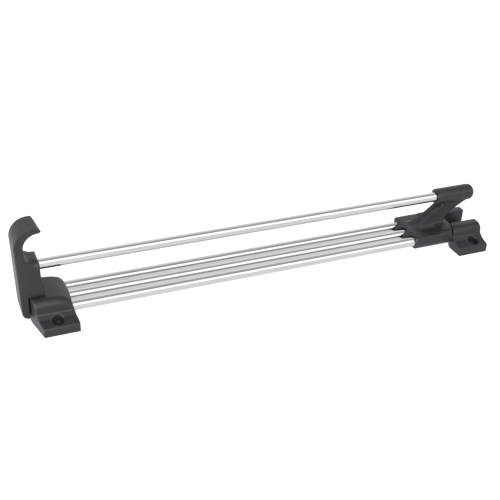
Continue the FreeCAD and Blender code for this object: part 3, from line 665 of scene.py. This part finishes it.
def screw_mesh(start, along, length):
    """A pan head screw with a cross recess and a thread, from the top of its head."""
    grid = Grid(
        Box(-SCREW_HEAD_RADIUS, SCREW_HEAD_RADIUS, -SCREW_HEAD_RADIUS, SCREW_HEAD_RADIUS, 0, length),
        SCREW_CELL,
    )
    x, y, z = grid.x, grid.y, grid.z
    radial = np.hypot(x, y)
    head = overlap(radial - SCREW_HEAD_RADIUS, between(z, 0, SCREW_HEAD_LENGTH), SCREW_CROWN)
    turns = z / SCREW_THREAD_PITCH - np.arctan2(y, x) / (2 * math.pi)
    ridge = np.abs(turns - np.round(turns)) * 2
    thread = radial - SCREW_SHANK_RADIUS + SCREW_THREAD_DEPTH * ridge
    shank = np.maximum(thread, between(z, SCREW_HEAD_LENGTH / 2, length))
    slots = np.minimum(
        np.maximum(np.abs(x) - SCREW_RECESS_RADIUS, np.abs(y) - SCREW_RECESS_WIDTH / 2),
        np.maximum(np.abs(y) - SCREW_RECESS_RADIUS, np.abs(x) - SCREW_RECESS_WIDTH / 2),
    )
    screw = cut(np.minimum(head, shank), np.maximum(slots, z - SCREW_RECESS_DEPTH), SCREW_LIP_ROUND)
    points, faces = surface(screw, grid)
    turn = Vector((0, 0, 1)).rotation_difference(Vector(along)).to_matrix()
    return points @ np.array(turn).T + np.array(start), faces


def set_screw_mesh(x, low, high):
    """A headless screw with a six-sided socket."""
    grid = Grid(
        Box(-SET_SCREW_RADIUS, SET_SCREW_RADIUS, -SET_SCREW_RADIUS, SET_SCREW_RADIUS, low, high),
        SCREW_CELL,
    )
    radial = np.hypot(grid.x, grid.y)
    body = overlap(radial - SET_SCREW_RADIUS, between(grid.z, low, high), SET_SCREW_EDGE_ROUND)
    sector = 2 * math.pi / SET_SCREW_RECESS_SIDES
    turn = np.mod(np.arctan2(grid.y, grid.x), sector) - sector / 2
    recess = np.maximum(
        radial * np.cos(turn) - SET_SCREW_RECESS_RADIUS, grid.z - low - SET_SCREW_RECESS_DEPTH
    )
    points, faces = surface(cut(body, recess, SCREW_LIP_ROUND), grid)
    return points + np.array([x, 0, 0]), faces


# Materials. A pair is what a texture gives at the low and at the high end of a span of its values,
# a texture's scale is in patches per metre, and the depth of a bump is in metres

PLASTIC_SHADES = ((0.0100, 0.0095, 0.0121), (0.0141, 0.0134, 0.0164))
PLASTIC_MOTTLE_SCALE = 60
PLASTIC_ROUGHNESS = (0.42, 0.52)
PLASTIC_SPECULAR = 0.3
PLASTIC_GRAIN_SCALE = 1800
PLASTIC_GRAIN_STRENGTH = 0.12
PLASTIC_GRAIN_DEPTH = 0.0002
# Painted highlight: the mouldings' convex edges are painted this lighter shade
EDGE_HIGHLIGHT_SHADE = (0.04, 0.04, 0.043)
EDGE_HIGHLIGHT_SHARES = (0, 0.35)
EDGE_HIGHLIGHT_SPAN = (0.52, 0.62)

CHROME_SHADES = ((0.47, 0.47, 0.475), (0.53, 0.53, 0.535))
CHROME_ROUGHNESS = (0.07, 0.13)
CHROME_LINE_SCALE = 900
CHROME_LINE_STRETCH = (0.02, 1, 1)
CHROME_LINE_STRENGTH = 0.02
CHROME_LINE_DEPTH = 0.0001

NYLON_SHADES = ((0.62, 0.62, 0.58), (0.72, 0.72, 0.68))
NYLON_ROUGHNESS = (0.35, 0.5)
NYLON_CLOUD_SCALE = 250
NYLON_SCATTER = 0.15
NYLON_SCATTER_DEPTH = 0.001

BLACK_NYLON_SHADES = ((0.012, 0.012, 0.014), (0.02, 0.02, 0.023))
BLACK_NYLON_ROUGHNESS = (0.3, 0.42)
BLACK_NYLON_CLOUD_SCALE = 400

RUBBER_SHADES = (0.016, 0.03)
RUBBER_ROUGHNESS = 0.8
RUBBER_DUST_SCALE = 900
RUBBER_DUST_STRENGTH = 0.15
RUBBER_DUST_DEPTH = 0.0002

STEEL_SHADES = ((0.52, 0.53, 0.56), (0.68, 0.68, 0.7))
STEEL_ROUGHNESS = (0.25, 0.45)
STEEL_PATCH_SCALE = 1200

USUAL_DETAIL = 4
FINE_DETAIL = 3
USUAL_SPAN = (0.3, 0.7)


def new_material(name):
    """A material with its nodes, its links and its shader."""
    material = bpy.data.materials.new(name)
    material.use_nodes = True
    nodes = material.node_tree.nodes
    return material, nodes, material.node_tree.links, nodes["Principled BSDF"]


def noise(nodes, links, scale, detail=USUAL_DETAIL, stretch=(1, 1, 1)):
    """A noise texture in the piece's own coordinates, in metres."""
    coordinates = nodes.new("ShaderNodeTexCoord")
    mapping = nodes.new("ShaderNodeMapping")
    mapping.inputs["Scale"].default_value = stretch
    links.new(coordinates.outputs["Object"], mapping.inputs["Vector"])
    texture = nodes.new("ShaderNodeTexNoise")
    texture.inputs["Scale"].default_value = scale
    texture.inputs["Detail"].default_value = detail
    links.new(mapping.outputs["Vector"], texture.inputs["Vector"])
    return texture.outputs["Fac"]


def rgba(shade):
    """A colour or a grey as a socket's four values."""
    return (*shade, 1) if isinstance(shade, tuple) else (shade, shade, shade, 1)


def ramp(nodes, links, source, target, pair, span=USUAL_SPAN):
    """Feeds a socket from one end of a pair to the other, as a texture runs over a span."""
    node = nodes.new("ShaderNodeValToRGB")
    for element, position, shade in zip(node.color_ramp.elements, span, pair):
        element.position = position
        element.color = rgba(shade)
    links.new(source, node.inputs["Fac"])
    links.new(node.outputs["Color"], target)


def bump(nodes, links, source, shader, strength, distance):
    """Roughens a shader's surface with a texture."""
    node = nodes.new("ShaderNodeBump")
    node.inputs["Strength"].default_value = strength
    node.inputs["Distance"].default_value = distance
    links.new(source, node.inputs["Height"])
    links.new(node.outputs["Normal"], shader.inputs["Normal"])


def plastic_material():
    """Dark satin plastic with a fine moulded grain, and a painted highlight that makes its convex
    edges lighter.
    """
    material, nodes, links, shader = new_material("satin_black_plastic")
    mix = nodes.new("ShaderNodeMix")
    mix.data_type = "RGBA"
    mottle = noise(nodes, links, PLASTIC_MOTTLE_SCALE)
    ramp(nodes, links, mottle, mix.inputs["A"], PLASTIC_SHADES)
    # Painted highlight: convex edges, found by their pointiness, are painted a lighter shade
    mix.inputs["B"].default_value = rgba(EDGE_HIGHLIGHT_SHADE)
    edges = nodes.new("ShaderNodeNewGeometry").outputs["Pointiness"]
    ramp(nodes, links, edges, mix.inputs["Factor"], EDGE_HIGHLIGHT_SHARES, EDGE_HIGHLIGHT_SPAN)
    links.new(mix.outputs["Result"], shader.inputs["Base Color"])
    grain = noise(nodes, links, PLASTIC_GRAIN_SCALE, FINE_DETAIL)
    ramp(nodes, links, grain, shader.inputs["Roughness"], PLASTIC_ROUGHNESS)
    shader.inputs["Specular IOR Level"].default_value = PLASTIC_SPECULAR
    bump(nodes, links, grain, shader, PLASTIC_GRAIN_STRENGTH, PLASTIC_GRAIN_DEPTH)
    return material


def chrome_material():
    """Bright plated tube with faint drawing lines along its length."""
    material, nodes, links, shader = new_material("chrome_plated_tube")
    shader.inputs["Metallic"].default_value = 1.0
    lines = noise(nodes, links, CHROME_LINE_SCALE, FINE_DETAIL, CHROME_LINE_STRETCH)
    ramp(nodes, links, lines, shader.inputs["Base Color"], CHROME_SHADES)
    ramp(nodes, links, lines, shader.inputs["Roughness"], CHROME_ROUGHNESS)
    bump(nodes, links, lines, shader, CHROME_LINE_STRENGTH, CHROME_LINE_DEPTH)
    return material


def nylon_material():
    """Natural nylon, a little translucent."""
    material, nodes, links, shader = new_material("natural_nylon")
    cloud = noise(nodes, links, NYLON_CLOUD_SCALE)
    ramp(nodes, links, cloud, shader.inputs["Base Color"], NYLON_SHADES)
    ramp(nodes, links, cloud, shader.inputs["Roughness"], NYLON_ROUGHNESS)
    shader.inputs["Subsurface Weight"].default_value = NYLON_SCATTER
    shader.inputs["Subsurface Scale"].default_value = NYLON_SCATTER_DEPTH
    return material


def black_nylon_material():
    """Black nylon, smoother than the mouldings."""
    material, nodes, links, shader = new_material("black_nylon")
    cloud = noise(nodes, links, BLACK_NYLON_CLOUD_SCALE)
    ramp(nodes, links, cloud, shader.inputs["Base Color"], BLACK_NYLON_SHADES)
    ramp(nodes, links, cloud, shader.inputs["Roughness"], BLACK_NYLON_ROUGHNESS)
    return material


def rubber_material():
    """Matt black rubber with a dusty grain."""
    material, nodes, links, shader = new_material("black_rubber")
    dust = noise(nodes, links, RUBBER_DUST_SCALE)
    ramp(nodes, links, dust, shader.inputs["Base Color"], RUBBER_SHADES)
    shader.inputs["Roughness"].default_value = RUBBER_ROUGHNESS
    bump(nodes, links, dust, shader, RUBBER_DUST_STRENGTH, RUBBER_DUST_DEPTH)
    return material


def steel_material():
    """Zinc plated screw steel."""
    material, nodes, links, shader = new_material("zinc_plated_steel")
    shader.inputs["Metallic"].default_value = 1.0
    patches = noise(nodes, links, STEEL_PATCH_SCALE)
    ramp(nodes, links, patches, shader.inputs["Base Color"], STEEL_SHADES)
    ramp(nodes, links, patches, shader.inputs["Roughness"], STEEL_ROUGHNESS)
    return material


plastic = plastic_material()
chrome = chrome_material()
nylon = nylon_material()
black_nylon = black_nylon_material()
rubber = rubber_material()
steel = steel_material()

add_moulding("front_foot", front_foot_field, FRONT, "frame", plastic)
add_moulding("rear_foot", rear_foot_field, REAR, "frame", plastic)
add_moulding("handle", handle_field, HANDLE, "slide", plastic)
add_moulding("carriage", carriage_field, CARRIAGE, "slide", plastic)

add_tube("hanging_rail", RAIL, 0, RAIL_Z, "slide", chrome)
add_tube("centre_slide_tube", CENTRE, 0, TUBE_Z, "slide", chrome)
add_ring("slide_bush", SLIDE_BUSH, 0, BUSH_BORE_RADIUS, BUSH_RADIUS, "frame", "nylon", black_nylon)
for side, y in (("left", TUBE_Y), ("right", -TUBE_Y)):
    add_tube("guide_tube_" + side, GUIDE, y, TUBE_Z, "frame", chrome)
    add_ring("carriage_bush_" + side, CARRIAGE_BUSH, y, BUSH_BORE_RADIUS, BUSH_RADIUS,
             "slide", "nylon", black_nylon)
    add_ring("closing_buffer_" + side, BUFFER, y, SOCKET_RADIUS, BUFFER_RADIUS,
             "frame", "buffer_rubber", rubber)

foot_screws = [
    screw_mesh((x, side * TUBE_Y, FOOT_SCREWS.z0), (0, 0, 1), FOOT_SCREWS.z1 - FOOT_SCREWS.z0)
    for x in (FOOT_SCREWS.x0 + SCREW_HEAD_RADIUS, FOOT_SCREWS.x1 - SCREW_HEAD_RADIUS)
    for side in (-1, 1)
]
add_piece("guide_tube_screws_threaded", *joined(foot_screws), "frame", "screw_steel", steel,
          "guide_tube_screws")
rail_screws = [
    screw_mesh((RAIL_SCREWS.x0 + SCREW_HEAD_RADIUS, 0, RAIL_SCREWS.z0), (0, 0, 1),
               RAIL_Z - TUBE_RADIUS - RAIL_SCREWS.z0),
    screw_mesh((RAIL_SCREWS.x1, 0, RAIL_Z), (-1, 0, 0), RAIL_SCREWS.x1 - RAIL.x1 + RAIL_SCREW_BITE),
]
add_piece("rail_screws_threaded", *joined(rail_screws), "slide", "screw_steel", steel, "rail_screws")
set_screws = [
    set_screw_mesh(SET_SCREWS.x0 + SET_SCREW_RADIUS, HANDLE.z0 + SET_SCREW_SINK, SET_SCREWS.z1),
    set_screw_mesh(SET_SCREWS.x1 - SET_SCREW_RADIUS, SET_SCREWS.z0, SET_SCREWS.z1),
]
add_piece("set_screws_socketed", *joined(set_screws), "slide", "screw_steel", steel,
          "centre_tube_set_screws")
for name in ("guide_tube_plugs_left", "guide_tube_plugs_right", "rail_plugs", "centre_tube_plugs"):
    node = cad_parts[name]
    node.data.materials.clear()
    node.data.materials.append(nylon)


# Stage, light and camera, in metres, but the lens and its sensor in millimetres

FLOOR_HALF = 6.0
FLOOR_DROP = 0.0002
FLOOR_GLOW = 1.05
FLOOR_SHADES = (0.15, 0.16)
FLOOR_ROUGHNESS = 0.9
FLOOR_SPECULAR = 0.1
FLOOR_PAPER_SCALE = 40
CAMERA_PLACE = (-0.3252, -0.7096, 0.4896)
CAMERA_RIGHT = (0.9245, -0.3795, 0.0369)
CAMERA_FORWARD = (0.3437, 0.7875, -0.5116)
CAMERA_LENS = 64.97
SENSOR_WIDTH = 36.0
IMAGE_SHIFT = 0.001

# The sky seen round the tubes' axis, from the far horizon over the top to the near horizon:
# share of the half turn, and brightness
SKY_SHARES = [
    (0, 1.4),
    (0.2, 1.35),
    (0.32, 1.15),
    (0.42, 0.75),
    (0.5, 0.52),
    (0.59, 0.52),
    (0.64, 2.2),
    (0.86, 2.2),
    (0.9, 1.2),
    (1.0, 1.1),
]

# How much of that brightness is left at the horizon beyond the handle
HANDLE_END_SHARE = 0.3

# Soft lights: name, place, the point that it is aimed at, size, and power in watts
LIGHTS = [
    ("fill", (-0.5, -1.15, 0.7), (0, 0, 0), (0.7, 0.5), 13),
    ("front", (-1.25, -0.3, 0.1), (-0.24, 0, 0.05), (0.6, 0.3), 20),
]


def add_floor(material):
    """A wide floor, a hair below the feet so that the two do not flicker."""
    mesh = bpy.data.meshes.new("floor")
    reach = FLOOR_HALF
    corners = [(-reach, -reach, 0), (reach, -reach, 0), (reach, reach, 0), (-reach, reach, 0)]
    mesh.from_pydata(corners, [], [(0, 1, 2, 3)])
    mesh.materials.append(material)
    floor = bpy.data.objects.new("floor", mesh)
    floor.location.z = -FLOOR_DROP
    bpy.context.scene.collection.objects.link(floor)


def floor_material():
    """Plain pale paper that glows, so that it stays even under the lights."""
    material, nodes, links, shader = new_material("pale_floor")
    paper = noise(nodes, links, FLOOR_PAPER_SCALE)
    ramp(nodes, links, paper, shader.inputs["Base Color"], FLOOR_SHADES)
    shader.inputs["Roughness"].default_value = FLOOR_ROUGHNESS
    shader.inputs["Specular IOR Level"].default_value = FLOOR_SPECULAR
    shader.inputs["Emission Color"].default_value = rgba(1)
    shader.inputs["Emission Strength"].default_value = FLOOR_GLOW
    return material


def add_sky():
    """A studio shaded round the tubes' axis and darker beyond the handle."""
    world = bpy.data.worlds.new("studio")
    bpy.context.scene.world = world
    world.use_nodes = True
    nodes, links = world.node_tree.nodes, world.node_tree.links
    coordinates = nodes.new("ShaderNodeTexCoord")
    split = nodes.new("ShaderNodeSeparateXYZ")
    links.new(coordinates.outputs["Generated"], split.inputs["Vector"])
    turn = nodes.new("ShaderNodeMath")
    turn.operation = "ARCTAN2"
    links.new(split.outputs["Z"], turn.inputs[0])
    links.new(split.outputs["Y"], turn.inputs[1])
    share = nodes.new("ShaderNodeMath")
    share.operation = "DIVIDE"
    share.inputs[1].default_value = math.pi
    links.new(turn.outputs["Value"], share.inputs[0])
    sky = nodes.new("ShaderNodeValToRGB")
    stops = sky.color_ramp.elements
    while len(stops) < len(SKY_SHARES):
        stops.new(1.0)
    brightest = max(brightness for _, brightness in SKY_SHARES)
    for stop, (place, brightness) in zip(stops, SKY_SHARES):
        stop.position = place
        stop.color = rgba(brightness / brightest)
    links.new(share.outputs["Value"], sky.inputs["Fac"])
    fade = nodes.new("ShaderNodeMapRange")
    fade.inputs["From Min"].default_value = -1
    fade.inputs["From Max"].default_value = 0
    fade.inputs["To Min"].default_value = brightest * HANDLE_END_SHARE
    fade.inputs["To Max"].default_value = brightest
    links.new(split.outputs["X"], fade.inputs["Value"])
    background = nodes["Background"]
    links.new(fade.outputs["Result"], background.inputs["Strength"])
    links.new(sky.outputs["Color"], background.inputs["Color"])


def add_light(name, place, target, size, power):
    """A rectangular light aimed at a point."""
    light = bpy.data.lights.new(name, "AREA")
    light.shape = "RECTANGLE"
    light.size, light.size_y = size
    light.energy = power
    lamp = bpy.data.objects.new(name, light)
    lamp.location = place
    lamp.rotation_euler = (Vector(target) - Vector(place)).to_track_quat("-Z", "Y").to_euler()
    bpy.context.scene.collection.objects.link(lamp)


def add_camera():
    """The photograph's camera, solved from its straight edges."""
    camera = bpy.data.cameras.new("camera")
    camera.sensor_width = SENSOR_WIDTH
    camera.lens = CAMERA_LENS
    camera.shift_x = -IMAGE_SHIFT
    camera.shift_y = IMAGE_SHIFT
    right = Vector(CAMERA_RIGHT).normalized()
    forward = Vector(CAMERA_FORWARD)
    up = right.cross(forward).normalized()
    turn = Matrix((right, up, right.cross(up))).transposed()
    holder = bpy.data.objects.new("camera", camera)
    holder.matrix_world = Matrix.Translation(CAMERA_PLACE) @ turn.to_4x4()
    bpy.context.scene.collection.objects.link(holder)
    bpy.context.scene.camera = holder


add_floor(floor_material())
add_sky()
for light in LIGHTS:
    add_light(*light)
add_camera()
bpy.context.scene.view_settings.view_transform = "Standard"
